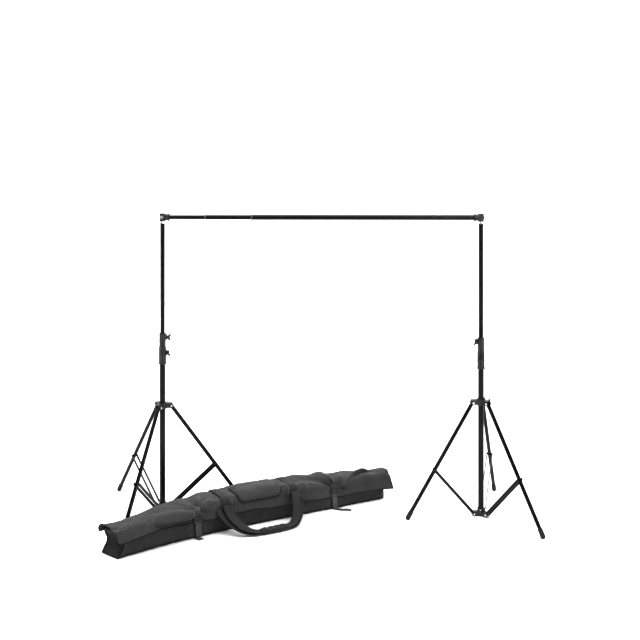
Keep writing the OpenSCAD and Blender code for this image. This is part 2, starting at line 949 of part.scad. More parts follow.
foot(RIGHT, 2);  // right_foot_3
brace(RIGHT, 0);  // right_brace_1
brace(RIGHT, 1);  // right_brace_2
brace(RIGHT, 2);  // right_brace_3
bar_outer_tube();
bar_middle_tube();
bar_inner_tube();
bar_outer_ring();
bar_middle_ring();
bar_left_socket();
bar_right_socket();
bar_left_screw();
bar_right_screw();
bag_body();
bag_flap();
bag_pocket();
bag_handles();
bag_handle_grip();
bag_straps();
bag_buckles();
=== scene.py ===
import json
import math

import bpy
import numpy as np
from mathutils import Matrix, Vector

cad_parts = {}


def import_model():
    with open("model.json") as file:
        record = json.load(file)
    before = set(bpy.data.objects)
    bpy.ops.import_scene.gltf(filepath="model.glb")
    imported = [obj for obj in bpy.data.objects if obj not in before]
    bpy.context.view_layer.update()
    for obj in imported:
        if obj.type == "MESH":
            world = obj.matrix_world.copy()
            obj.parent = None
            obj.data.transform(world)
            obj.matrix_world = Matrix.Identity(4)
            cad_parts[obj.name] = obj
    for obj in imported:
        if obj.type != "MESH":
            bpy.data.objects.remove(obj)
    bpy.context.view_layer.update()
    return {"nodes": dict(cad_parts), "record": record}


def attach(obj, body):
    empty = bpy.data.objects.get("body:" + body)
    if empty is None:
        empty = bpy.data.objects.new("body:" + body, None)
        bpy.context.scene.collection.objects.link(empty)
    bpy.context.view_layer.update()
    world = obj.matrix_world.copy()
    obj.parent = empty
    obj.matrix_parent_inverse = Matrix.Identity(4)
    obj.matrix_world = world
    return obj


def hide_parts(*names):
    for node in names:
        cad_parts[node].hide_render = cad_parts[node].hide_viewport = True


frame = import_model()
scene = bpy.context.scene

# ---------------------------------------------------------------- camera
cam_data = bpy.data.cameras.new("camera")
cam_data.lens = 50.39
cam_data.sensor_width = 36
cam_data.shift_y = -0.2207
cam_data.clip_end = 60
camera = bpy.data.objects.new("camera", cam_data)
camera.location = (0.1382, -4.3986, 1.682)
camera.rotation_euler = (math.radians(90), 0, math.radians(1.505))
scene.collection.objects.link(camera)
scene.camera = camera


# ---------------------------------------------------------------- materials
class Mat:
    """A node material under construction: a few short helpers round the node tree."""

    def __init__(self, name):
        self.mat = bpy.data.materials.new(name)
        self.mat.use_nodes = True
        self.nt = self.mat.node_tree
        self.bsdf = self.nt.nodes["Principled BSDF"]
        self.coord = self.nt.nodes.new("ShaderNodeTexCoord")

    def link(self, a, b):
        self.nt.links.new(a, b)

    def node(self, kind, inputs=(), **props):
        n = self.nt.nodes.new("ShaderNode" + kind)
        for k, v in props.items():
            setattr(n, k, v)
        for k, v in dict(inputs).items():
            if isinstance(v, bpy.types.NodeSocket):
                self.link(v, n.inputs[k])
            else:
                n.inputs[k].default_value = v
        return n

    def scaled(self, size, source="Object"):
        m = self.node("Mapping", {"Vector": self.coord.outputs[source], "Scale": size})
        return m.outputs["Vector"]

    def noise(self, scale, detail=3.0, rough=0.5, vector=None, distortion=0.0):
        n = self.node(
            "TexNoise",
            {
                "Vector": vector or self.coord.outputs["Object"],
                "Scale": scale,
                "Detail": detail,
                "Roughness": rough,
                "Distortion": distortion,
            },
        )
        return n.outputs["Fac"]

    def span(self, value, low, high, start=0.3, end=0.7):
        n = self.node("MapRange", {"Value": value, "From Min": start, "From Max": end})
        n.inputs["To Min"].default_value = low
        n.inputs["To Max"].default_value = high
        return n.outputs["Result"]

    def math(self, op, a, b=0.0):
        n = self.node("Math", operation=op)
        for i, v in enumerate((a, b)):
            if isinstance(v, bpy.types.NodeSocket):
                self.link(v, n.inputs[i])
            else:
                n.inputs[i].default_value = v
        return n.outputs[0]

    def mix(self, fac, a, b):
        n = self.node("Mix", data_type="RGBA")
        for k, v in (("Factor", fac), ("A", a), ("B", b)):
            sockets = [s for s in n.inputs if s.name == k and s.enabled]
            s = sockets[0] if k == "Factor" else [x for x in n.inputs if x.name == k and x.type == "RGBA"][0]
            if isinstance(v, bpy.types.NodeSocket):
                self.link(v, s)
            else:
                s.default_value = v
        return [o for o in n.outputs if o.type == "RGBA"][0]

    def bump(self, height, strength, distance, below=None):
        n = self.node("Bump", {"Height": height, "Strength": strength, "Distance": distance})
        if below is not None:
            self.link(below, n.inputs["Normal"])
        return n.outputs["Normal"]

    def put(self, **sockets):
        for k, v in sockets.items():
            s = self.bsdf.inputs[k.replace("_", " ")]
            if isinstance(v, bpy.types.NodeSocket):
                self.link(v, s)
            else:
                s.default_value = v
        return self.mat


def grey(v, tint=1.02):
    return (v, v, v * tint, 1)


def coated_tube(name, dark, light, rough_low, rough_high, coat):
    """Gloss black coating on drawn tube: faint mottling, fine scuffs and orange peel."""
    m = Mat(name)
    cloud = m.noise(7.0, 3.0, 0.6)
    scuff = m.noise(160.0, 4.0, 0.7, distortion=1.5)
    worn = m.math("GREATER_THAN", m.noise(38.0, 5.0, 0.75), 0.715)
    colour = m.mix(m.span(cloud, 0, 1), grey(dark), grey(light))
    colour = m.mix(m.math("MULTIPLY", worn, 0.5), colour, grey(light * 2.6))
    rough = m.math("ADD", m.span(cloud, rough_low, rough_high), m.math("MULTIPLY", scuff, 0.1))
    normal = m.bump(m.noise(420.0, 2.0), 0.05, 0.0006)
    normal = m.bump(scuff, 0.06, 0.0004, normal)
    return m.put(
        Base_Color=colour,
        Roughness=rough,
        Normal=normal,
        Coat_Weight=coat,
        Coat_Roughness=0.08,
        IOR=1.45,
        Specular_IOR_Level=0.24,
    )


def moulded(name, dark, light, rough, gloss):
    """Moulded black plastic: fine spark-eroded grain, slightly paler on rubbed spots."""
    m = Mat(name)
    cloud = m.noise(24.0, 4.0, 0.6)
    grain = m.noise(900.0, 3.0, 0.7)
    colour = m.mix(m.span(cloud, 0, 1), grey(dark), grey(light))
    roughness = m.math("ADD", m.span(cloud, rough - 0.06, rough + 0.08), m.math("MULTIPLY", grain, 0.06))
    normal = m.bump(grain, 0.22, 0.0003)
    normal = m.bump(m.noise(60.0, 2.0), 0.04, 0.001, normal)
    return m.put(Base_Color=colour, Roughness=roughness, Normal=normal, Coat_Weight=gloss, Coat_Roughness=0.3)


def rubber(name):
    """Matt rubber with a little dust."""
    m = Mat(name)
    cloud = m.noise(60.0, 4.0, 0.65)
    dust = m.math("GREATER_THAN", m.noise(300.0, 4.0, 0.8), 0.64)
    colour = m.mix(m.span(cloud, 0, 1), grey(0.012), grey(0.028))
    colour = m.mix(m.math("MULTIPLY", dust, 0.35), colour, grey(0.09))
    return m.put(
        Base_Color=colour,
        Roughness=m.span(cloud, 0.62, 0.82),
        Normal=m.bump(m.noise(700.0, 3.0), 0.35, 0.0005),
        Specular_IOR_Level=0.35,
    )


def bare_metal(name, low, high, rough_low, rough_high):
    """Plated steel with fine turned lines and a little tarnish."""
    m = Mat(name)
    cloud = m.noise(55.0, 4.0, 0.6)
    lines = m.noise(30.0, 3.0, 0.6, vector=m.scaled((8, 8, 90)))
    colour = m.mix(m.span(cloud, 0, 1), grey(low), grey(high, 1.01))
    rough = m.math("ADD", m.span(cloud, rough_low, rough_high), m.math("MULTIPLY", lines, 0.1))
    return m.put(Base_Color=colour, Metallic=1.0, Roughness=rough, Normal=m.bump(lines, 0.12, 0.0003))


def woven(name, dark, light, pitch, sheen, ribs=False, wrinkles=0.06):
    """Woven synthetic cloth: warp and weft at the yarn's own pitch, slub, fading and creases, with sheen."""
    m = Mat(name)
    uv = m.coord.outputs["UV"]
    size = 1.0 / pitch
    rough = 0.72
    yarn = {"Vector": uv, "Scale": size / 2.2, "Distortion": 0.6, "Detail": 1.0, "Detail Scale": 1.6}
    warp = m.node("TexWave", yarn, bands_direction="X")
    weft = m.node("TexWave", yarn, bands_direction="Y")
    if ribs:
        most = m.math("MULTIPLY", warp.outputs["Fac"], 0.85)
        rest = m.math("MULTIPLY", weft.outputs["Fac"], 0.15)
        cross = m.math("ADD", most, rest)
    else:
        check = m.node("TexChecker", {"Vector": uv, "Scale": size / 1.1})
        cross = m.node("Mix", data_type="FLOAT")
        m.link(check.outputs["Fac"], cross.inputs[0])
        m.link(warp.outputs["Fac"], cross.inputs[2])
        m.link(weft.outputs["Fac"], cross.inputs[3])
        cross = cross.outputs[0]
    cloud = m.noise(5.5, 5.0, 0.62)
    slub = m.noise(90.0, 4.0, 0.7)
    colour = m.mix(m.span(cloud, 0, 1), grey(dark), grey(light))
    colour = m.mix(m.span(cross, 0.0, 0.42, 0.1, 0.9), colour, grey(dark * 0.45))
    colour = m.mix(m.math("MULTIPLY", m.span(slub, 0, 1, 0.55, 0.8), 0.3), colour, grey(light * 1.5))
    normal = m.bump(cross, 0.35, 0.0005)
    normal = m.bump(slub, 0.14, 0.0016, normal)
    normal = m.bump(m.noise(14.0, 4.0, 0.62, distortion=1.2), wrinkles, 0.02, normal)
    return m.put(
        Base_Color=colour,
        Roughness=m.span(cloud, rough - 0.08, rough + 0.1),
        Normal=normal,
        Sheen_Weight=sheen,
        Sheen_Roughness=0.45,
        Specular_IOR_Level=0.2,
    )


def thread(name, level):
    """Twisted sewing thread."""
    m = Mat(name)
    twist = m.noise(1500.0, 2.0)
    return m.put(
        Base_Color=m.mix(twist, grey(level * 0.6), grey(level)),
        Roughness=0.7,
        Normal=m.bump(twist, 0.4, 0.0003),
        Sheen_Weight=0.2,
    )


MATERIAL = {
    "mast_black": coated_tube("mast_black", 0.003, 0.008, 0.12, 0.24, 0.15),
    "bar_black": coated_tube("bar_black", 0.003, 0.008, 0.14, 0.26, 0.15),
    "leg_black": coated_tube("leg_black", 0.003, 0.008, 0.12, 0.24, 0.15),
    "brace_black": coated_tube("brace_black", 0.008, 0.018, 0.24, 0.4, 0.1),
    "collar_plastic": moulded("collar_plastic", 0.007, 0.016, 0.34, 0.25),
    "knob_plastic": moulded("knob_plastic", 0.008, 0.018, 0.46, 0.0),
    "socket_plastic": moulded("socket_plastic", 0.012, 0.026, 0.42, 0.0),
    "buckle_plastic": moulded("buckle_plastic", 0.012, 0.024, 0.4, 0.1),
    "foot_rubber": rubber("foot_rubber"),
    "bright_steel": bare_metal("bright_steel", 0.5, 0.72, 0.22, 0.36),
    "spigot_chrome": bare_metal("spigot_chrome", 0.7, 0.86, 0.08, 0.18),
    "ferrule_metal": bare_metal("ferrule_metal", 0.10, 0.17, 0.36, 0.5),
    "bag_nylon": woven("bag_nylon", 0.040, 0.062, 0.0011, 0.12, wrinkles=0.45),
    "flap_nylon": woven("flap_nylon", 0.044, 0.068, 0.0011, 0.14, wrinkles=0.45),
    "pocket_nylon": woven("pocket_nylon", 0.048, 0.072, 0.0011, 0.14, wrinkles=0.45),
    "webbing": woven("webbing", 0.028, 0.046, 0.0016, 0.1, ribs=True),
    "grip_fabric": woven("grip_fabric", 0.022, 0.038, 0.0010, 0.15),
    "strap_webbing": woven("strap_webbing", 0.075, 0.11, 0.0016, 0.15, ribs=True),
}
PIPING = woven("piping_tape", 0.010, 0.02, 0.0009, 0.1, ribs=True)
THREAD = thread("stitch_thread", 0.075)

slot_of = {s["node"]: s["material_slot"] for s in frame["record"]["subparts"]}
for node_name, node_obj in frame["nodes"].items():
    node_obj.data.materials.clear()
    node_obj.data.materials.append(MATERIAL[slot_of[node_name]])


# ---------------------------------------------------------------- mesh helpers
def mesh_object(name, points, faces, material, uvs=None):
    """Smooth-shaded mesh object from points, faces and one uv for each point."""
    mesh = bpy.data.meshes.new(name)
    mesh.from_pydata([tuple(p) for p in points], [], [tuple(int(i) for i in f) for f in faces])
    mesh.validate()
    if uvs is not None:
        layer = mesh.uv_layers.new(name="UVMap")
        loops = np.empty(len(mesh.loops), np.int32)
        mesh.loops.foreach_get("vertex_index", loops)
        layer.data.foreach_set("uv", np.asarray(uvs, np.float32)[loops].ravel())
    mesh.polygons.foreach_set("use_smooth", [True] * len(mesh.polygons))
    mesh.materials.append(material)
    obj = bpy.data.objects.new(name, mesh)
    scene.collection.objects.link(obj)
    return obj


def grid_faces(nu, nv, close_v=False):
    """Quads of a grid of nu rows of nv points, each row closed on itself if close_v."""
    out = []
    for i in range(nu - 1):
        for k in range(nv if close_v else nv - 1):
            a = i * nv + k
            b = i * nv + (k + 1) % nv
            out.append((a, b, b + nv, a + nv))
    return out


def smooth_route(points, count):
    """Catmull-Rom curve through the points, at count even steps."""
    p = np.asarray(points, float)
    p = np.vstack([2 * p[0] - p[1], p, 2 * p[-1] - p[-2]])
    out = []
    for i in range(1, len(p) - 2):
        for t in np.linspace(0, 1, 24, endpoint=False):
            a, b, c, d = p[i - 1 : i + 3]
            out.append(
                0.5
                * (2 * b + (c - a) * t + (2 * a - 5 * b + 4 * c - d) * t**2 + (3 * b - a - 3 * c + d) * t**3)
            )
    out = np.array(out + [p[-2]])
    run = np.concatenate([[0], np.cumsum(np.linalg.norm(np.diff(out, axis=0), axis=1))])
    at = np.linspace(0, run[-1], count)
    return np.stack([np.interp(at, run, out[:, k]) for k in range(3)], 1), at


def directions(route):
    """Unit tangents along a route."""
    d = np.gradient(route, axis=0)
    return d / np.linalg.norm(d, axis=1, keepdims=True)


def swept(name, route, run, sides, section, material):
    """Closed section of (across, out) points, in metres, swept along route; sides is its across direction."""
    d = directions(route)
    a = sides - d * np.sum(sides * d, 1, keepdims=True)
    a /= np.linalg.norm(a, axis=1, keepdims=True)
    b = np.cross(d, a)
    sec = np.asarray(section, float)
    rings = route[:, None] + (a[:, None] * sec[None, :, :1] + b[:, None] * sec[None, :, 1:])
    n, m = len(route), len(sec)
    faces = grid_faces(n, m, True) + [tuple(range(m))[::-1], tuple((n - 1) * m + k for k in range(m))]
    around = np.concatenate([[0], np.cumsum(np.linalg.norm(np.diff(sec, axis=0), axis=1))])
    uvs = [(r, s) for r in run for s in around]
    return mesh_object(name, rings.reshape(-1, 3), faces, material, uvs)


def flat_section(width, thick):
    """Section of webbing: flat, slightly bowed, with eased edges."""
    w, t = width / 2, thick / 2
    c = min(t, width * 0.1) * 0.95
    across = np.linspace(-w + c, w - c, 7)
    bow = 0.12 * thick * np.cos(np.pi * across / width)
    top = [(x, t + y) for x, y in zip(across, bow)]
    under = [(x, -t + y) for x, y in zip(across[::-1], bow[::-1])]
    return top + [(w, t * 0.4), (w, -t * 0.4)] + under + [(-w, -t * 0.4), (-w, t * 0.4)]


def round_section(r, n=8):
    """Section of a round cord or piping."""
    return [(r * math.cos(t), r * math.sin(t)) for t in np.linspace(0, -2 * math.pi, n, endpoint=False)]


def join(name, objs):
    """Joins objs into one object of the given name."""
    for o in bpy.context.selected_objects:
        o.select_set(False)
    for o in objs:
        o.select_set(True)
    bpy.context.view_layer.objects.active = objs[0]
    bpy.ops.object.join()
    objs[0].name = name
    objs[0].data.name = name
    return objs[0]


def settle(obj, name):
    """Applies every modifier on obj."""
    dg = bpy.context.evaluated_depsgraph_get()
    mesh = bpy.data.meshes.new_from_object(obj.evaluated_get(dg), preserve_all_data_layers=True, depsgraph=dg)
    obj.modifiers.clear()
    obj.data = mesh
    mesh.name = name
    return obj


def thicken(obj, thickness):
    """Subdivides a sheet once and gives it thickness inwards."""
    sub = obj.modifiers.new("sub", "SUBSURF")
    sub.levels = sub.render_levels = 1
    m = obj.modifiers.new("thick", "SOLIDIFY")
    m.thickness = thickness
    m.offset = -1.0
    return settle(obj, obj.name)


def relax_cloth(obj, pinned, pressure, grow, frames, out_cap, in_cap, floor=None):
    """Blender's cloth puffs and crumples obj; how far each point moves is capped."""
    rest = np.array([v.co for v in obj.data.vertices])
    group = obj.vertex_groups.new(name="pin")
    for i in np.nonzero(pinned > 0.01)[0]:
        group.add([int(i)], float(pinned[i]), "REPLACE")
    mod = obj.modifiers.new("cloth", "CLOTH")
    s = mod.settings
    s.quality = 6
    s.mass = 0.25
    s.tension_stiffness = s.compression_stiffness = 18
    s.shear_stiffness = 6
    s.bending_stiffness = 0.6
    s.tension_damping = s.compression_damping = 6
    s.use_pressure = True
    s.uniform_pressure_force = pressure
    s.shrink_min = -grow
    s.vertex_group_mass = "pin"
    s.effector_weights.gravity = 0
    mod.collision_settings.use_collision = False
    mod.point_cache.frame_start, mod.point_cache.frame_end = 1, frames
    for f in range(1, frames + 1):
        scene.frame_set(f)
    dg = bpy.context.evaluated_depsgraph_get()
    moved = np.array([v.co for v in obj.evaluated_get(dg).data.vertices])
    obj.modifiers.clear()
    scene.frame_set(1)
    shift = moved - rest
    shift[~np.isfinite(shift).all(1)] = 0
    normal = np.array([v.normal for v in obj.data.vertices])
    along = np.sum(shift * normal, 1)
    side = shift - along[:, None] * normal
    length = np.linalg.norm(side, axis=1, keepdims=True)
    side *= np.minimum(1, out_cap / np.maximum(length, 1e-9))
    along = np.where(along > 0, out_cap * np.tanh(along / out_cap), -in_cap * np.tanh(-along / in_cap))
    new = rest + side + along[:, None] * normal
    if floor is not None:
        new[:, 2] = np.maximum(new[:, 2], floor)
    obj.data.vertices.foreach_set("co", new.astype(np.float32).ravel())
    obj.data.update()
    return obj


# ---------------------------------------------------------------- the bag's own frame
# x along its front from the left end, y back, z up, in millimetres, as in the CAD source.
YAW = math.radians(30)
ALONG = np.array([math.cos(YAW), math.sin(YAW), 0.0])
BACK = np.array([-math.sin(YAW), math.cos(YAW), 0.0])
UP = np.array([0.0, 0.0, 1.0])
CORNER = np.array([0.025 - 0.9184, 0.1 - 0.5018, 0.0])
LENGTH = 1440.0
STRAPS = (393.0, 1136.0)
REAR_TOP, REAR_END = 540, 906
R = 28.0  # radius of the flap over the body's long edges
QUARTER = R * math.pi / 4
END_SLANT = 45  # how far the back of the left end reaches past its front
SLANT_LENGTH = 110  # stretch of the bag over which that fades out


def world(p):
    """From the bag's frame to the shared one."""
    p = np.asarray(p, float)
    return CORNER + (p[..., :1] * ALONG + p[..., 1:2] * BACK + p[..., 2:3] * UP) / 1000


def front(x):
    """The front face's y: the left half bows forwards."""
    return np.where(x < 700, -75 * (1 - np.clip(x, 0, 1440) / 700) ** 2, 0.0)


def width(x):
    return 112 + 76 * np.sin(np.pi * np.clip(x, 0, LENGTH) / LENGTH) ** 1.2


def height(x):
    return 126 + 26 * np.sin(np.pi * np.clip(x, 0, LENGTH) / LENGTH)


def flap_edge(x):
    return 80 - 30 * (np.clip(x, 0, LENGTH) / LENGTH) ** 2


def end_fade(x):
    """1 at the bag's left end, 0 from SLANT_LENGTH on."""
    return np.clip(1 - np.clip(x, 0, None) / SLANT_LENGTH, 0, None) ** 2


def slant(x, y, z, h):
    """Shift along the bag near its left end: cut at a slant, with the middle of its height drawn in."""
    back = (y - front(x)) / width(x)
    tuck = np.clip(1 - np.clip(x, 0, None) / 130, 0, None) ** 2
    return -END_SLANT * back * end_fade(x) + 26 * bump1(z, 0.46 * h, 0.5 * h) * tuck


def bump1(t, centre, half):
    """Smooth bump, 1 at the centre and 0 beyond half away."""
    u = np.clip(np.abs(t - centre) / half, 0, 1)
    return (1 - u * u) ** 2


def ramp1(t, a, b):
    """Smooth step from 0 at a to 1 at b."""
    u = np.clip((t - a) / (b - a), 0, 1)
    return u * u * (3 - 2 * u)


def skin_point(x, q, lift):
    """Point on the flap at station x. q runs down the front from the top front corner; lift is outwards."""
    x, q, lift = np.broadcast_arrays(np.asarray(x, float), np.asarray(q, float), np.asarray(lift, float))
    w, h, y0 = width(x), height(x), front(x)
    flat = w - 2 * R
    a = np.clip(q / R + math.pi / 4, 0, math.pi / 2)
    b = np.clip((-QUARTER - flat - q) / R, 0, math.pi / 2)
    down = np.maximum(q - QUARTER, 0)
    over = np.clip(-QUARTER - q, 0, flat)
    behind = np.maximum(-QUARTER - flat - R * math.pi / 2 - q, 0)
    at_back = q < -QUARTER - flat / 2
    ny = np.where(at_back, np.sin(b), -np.sin(a))
    nz = np.where(at_back, np.cos(b), np.cos(a))
    y = np.where(at_back, y0 + w - R + R * ny, y0 + R + R * ny)
    y = np.where((q < -QUARTER) & (q > -QUARTER - flat), y0 + R + over, y)
    z = h - R + R * nz - down - behind
    y = y + ny * lift
    z = z + nz * lift
    return np.stack([x - END_SLANT * np.clip((y - y0) / w, 0, 1.05) * end_fade(x), y, z], -1)


def edge_q(x):
    """Where the flap's front edge is, as q."""
    sag = 16 * (1 - ramp1(x, -10, 190)) + 2.5 * np.sin(x / 58) + 1.5 * np.sin(x / 23)
    return QUARTER + height(x) - R - flap_edge(x) + sag


def back_q(x):
    """Where the flap's back edge is, as q."""
    return -QUARTER - (width(x) - 2 * R) - R * math.pi / 2 - 2 - 24 * ramp1(x, 10, 120)


def crease(t, sharp):
    """A wave with narrow ridges and wide hollows, from -1 to 1."""
    return 2 * (1 - np.abs(np.sin(t / 2))) ** sharp - 0.75


def left_fold(x, q):
    """How strong the fold left of the first strap is here, and how far below its line this is."""
    t = np.clip((x - 160) / (385 - 160), 0, 1)
    return ramp1(x, 140, 220) * (1 - ramp1(x, 366, 390)), q - (8 + 22 * t)


def right_fold(x, q):
    """The same for the fold right of the second strap."""
    t = np.clip((x - 1160) / 190, 0, 1)
    return ramp1(x, 1158, 1190) * (1 - ramp1(x, 1340, 1410)), q - (22 - 90 * t)


def droop(x, q):
    """How far cloth slides down at the two long folds, so that each rolls over its hollow."""
    total = 0.0
    for fold in (left_fold, right_fold):
        inside, s = fold(x, q)
        total = total + 9.0 * inside * bump1(s, -3, 16)
    return total


def roll(s, rise, spread, drop_end, hollow, centre, half):
    """Profile across a long fold: a rounded roll above its line, then a hollow below it."""
    above = rise * np.exp(-((np.minimum(s, 0) / spread) ** 2)) * (1 - ramp1(s, -1, drop_end))
    return above - hollow * bump1(s, centre, half)


def folds(x, q):
    """Outward displacement of the flap, in mm: gathers at the straps, long creases and a slack front."""
    e = edge_q(x)
    d = 1.4 * np.sin(x / 61 + q / 47) + 1.1 * np.sin(x / 23.7 - q / 31 + 1.3)
    d = d + 5.0 * bump1(q, -95, 95) * (0.7 + 0.3 * np.sin(x / 140))
    for xs, qs, n, power, spin in ((393.0, 10.0, 6.0, 13.0, 0.9), (1136.0, 30.0, 9.0, 21.0, 2.2)):
        dx, dq = x - xs, q - qs
        r = np.hypot(dx, dq)
        th = np.arctan2(dq, dx)
        reach = np.exp(-r / 120) * (1 - np.exp(-((r / 22) ** 2)))
        fan = crease(n * th + spin, 0.8) + 0.4 * np.cos((n + 3) * th - spin * 1.7)
        d = d + power * reach * fan * ramp1(-q, -80, 20)
        d = d - 8.0 * np.exp(-((r / 26) ** 2))
        d = d - 4.5 * np.exp(-((dx / 20) ** 2)) * ramp1(q, 20, 60)
    # The deep fold to the left of the first strap: cloth rolls over above it and falls back sharply
    inside, s = left_fold(x, q)
    d = d + inside * roll(s, 25.0, 26, 7, 5.0, 20, 18)
    # A second, shorter one to the right of the second strap, running up to the top edge
    inside, s = right_fold(x, q)
    d = d + inside * roll(s, 24.0, 28, 8, 4.5, 24, 20)
    # Slack front edge between the straps, and the stiff corner that stands out at the right end
    free = (1 - np.exp(-(((x - STRAPS[0]) / 90) ** 2))) * (1 - np.exp(-(((x - STRAPS[1]) / 90) ** 2)))
    slack = ramp1(e - q, 46, 0)
    d = d + slack * free * (9.0 + 3.0 * np.sin(x / 52) + 1.8 * np.sin(x / 21 + 2))
    d = d + 8.0 * ramp1(x, 1290, LENGTH + 20) * ramp1(q, -10, 90)
    d = d + 5.0 * ramp1(x, 1240, LENGTH) * np.sin((x - 1240) / 34) * bump1(q, 20, 70)
    # Drag lines from the handles' anchors, and the raised tip at the left end
    for xa in (520.0, 925.0):
        d = d - 2.8 * np.exp(-(((x - xa) / 30) ** 2))
        d = d + 5.0 * np.exp(-(((x - xa - 48) / 13) ** 2)) * bump1(q, -5, 70)
        d = d + 4.0 * np.exp(-(((x - xa + 52) / 13) ** 2)) * bump1(q, 5, 70)
    d = d - 4.0 * (1 - ramp1(x, 0, 90)) * bump1(q, 20, 60)
    d = d + 11.0 * ramp1(x, 1380, LENGTH + 20) * bump1(q, -QUARTER - 20, 70)
    return d + 9.0 * (1 - ramp1(x, -20, 55)) * bump1(q, back_q(x) + 50, 60)


# ---------------------------------------------------------------- bag: body
def body_ring(x, n_front=20, n_top=14, n_back=12, n_under=12):
    """Closed section of the body at station x, from the front foot up, over and back underneath."""
    w, h, y0 = float(width(x)), float(height(x)), float(front(x))
    lo = y0 + 3.6
    hi = y0 + w - 3.6
    top = h - 13
    r = 24
    pts = []
    for k in range(n_front):
        z = 3 + (top - r - 3) * k / n_front
        bulge = 3.6 * math.sin(math.pi * (z / (top - r))) ** 0.8
        pts.append((lo - bulge, z))
    for k in range(4):
        a = math.pi / 2 * k / 4
        pts.append((lo + r - r * math.cos(a), top - r + r * math.sin(a)))
    for k in range(n_top):
        pts.append((lo + r + (hi - lo - 2 * r) * k / n_top, top))
    for k in range(4):
        a = math.pi / 2 * k / 4
        pts.append((hi - r + r * math.sin(a), top - r + r * math.cos(a)))
    for k in range(n_back):
        z = (top - r) * (1 - k / n_back)
        pts.append((hi + 3.0 * math.sin(math.pi * z / (top - r)), max(z, 3)))
    for k in range(n_under):
        pts.append((hi - 2 - (hi - lo - 4) * k / n_under, 0.6))
    return pts


def build_body():
    stations = np.linspace(0, LENGTH, 181)
    rings, uvs, pins = [], [], []
    per = len(body_ring(0.0))
    for x in stations:
        ring = body_ring(x)
        end = min(x, LENGTH - x)
        for k, (y, z) in enumerate(ring):
            pull = 0.0
            for xs in STRAPS:
                pull += 4.2 * math.exp(-(((x - xs) / 17) ** 2)) * math.exp(-(((z - 45) / 60) ** 2))
                for side in (-1, 1):
                    pull -= 2.4 * math.exp(-(((x - xs - side * 34) / 15) ** 2))
            if k < 24:
                ruck = 1.1 * math.sin(x / 41 + z / 29) + 0.7 * math.sin(x / 17.3 - z / 21)
                fall = 1 - math.exp(-end / 60)
                y += (pull + ruck) * math.sin(math.pi * min(1, z / 100)) ** 0.5 * fall
                # The rounded right end of the body, seen beyond the front face
                if x > LENGTH - 30:
                    y += 14 * ((x - LENGTH + 30) / 30) ** 2.4
            rings.append((x + float(slant(x, y, z, float(height(x)))), y, z))
            uvs.append((x / 1000, k * 0.0085))
            pins.append(1.0 if z < 1 or end < 6 else (0.5 if k in (0, 24) else 0.0))
    faces = grid_faces(len(stations), per, True)
    body = mesh_object("bag_body_soft", world(rings), faces, MATERIAL["bag_nylon"], uvs)
    relax_cloth(body, np.array(pins), 3.2, 0.022, 20, 0.0045, 0.004, floor=0.0004)
    co = np.array([v.co for v in body.data.vertices]).reshape(len(stations), per, 3)
    caps = [body]
    for side, ring, inwards in (("left", co[0], ALONG), ("right", co[-1], -ALONG)):
        centre = ring.mean(0)
        depth = 0.062 if side == "left" else -0.004
        levels = 9
        rows = []
        for j in range(levels):
            f = 1 - j / (levels - 1) * 0.97
            layer = centre + (ring - centre) * f
            away = np.abs(ring - centre)
            across = np.linalg.norm(away[:, :2], axis=1)
            diagonal = np.abs(away[:, 2] / away[:, 2].max() - across / across.max())
            tuck = depth * ((1 - f) ** 0.8) * (1 - 0.35 * np.exp(-((diagonal / 0.16) ** 2)))
            rows.append(layer + tuck[:, None] * inwards)
        pts = np.vstack(rows)
        faces = grid_faces(levels, per, True)
        faces.append(tuple(range((levels - 1) * per, levels * per)))
        if side == "left":
            faces = [f[::-1] for f in faces]
        flat = (pts - centre) @ np.stack([BACK, UP], 1)
        faces = [f[::-1] for f in faces]
        caps.append(mesh_object(f"bag_end_{side}", pts, faces, MATERIAL["bag_nylon"], flat))
    body = join("bag_body_soft", caps)
    weld = body.modifiers.new("weld", "WELD")
    weld.merge_threshold = 0.0002
    settle(body, "bag_body_soft")
    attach(body, "bag")
    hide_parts("bag_body")
    trims = []
    for k, name in ((1, "front"), (44, "back")):
        line = co[:, k] + np.array([0, 0, 0.0006])
        run = np.linspace(0, LENGTH / 1000, len(line))
        sides = np.tile(UP, (len(line), 1))
        trims.append(swept(f"piping_{name}", line, run, sides, round_section(0.0024), PIPING))
    for name, ring in (("left", co[0]), ("right", co[-1])):
        line, run = smooth_route(np.vstack([ring[::3], ring[:1]]), 150)
        line = line + (-ALONG if name == "left" else ALONG) * 0.0006
        line[:, 2] = np.maximum(line[:, 2], 0.0026)
        sides = np.tile(ALONG, (len(line), 1))
        trims.append(swept(f"piping_{name}", line, run, sides, round_section(0.0026), PIPING))
    trim = join("bag_piping", trims)
    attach(trim, "bag")


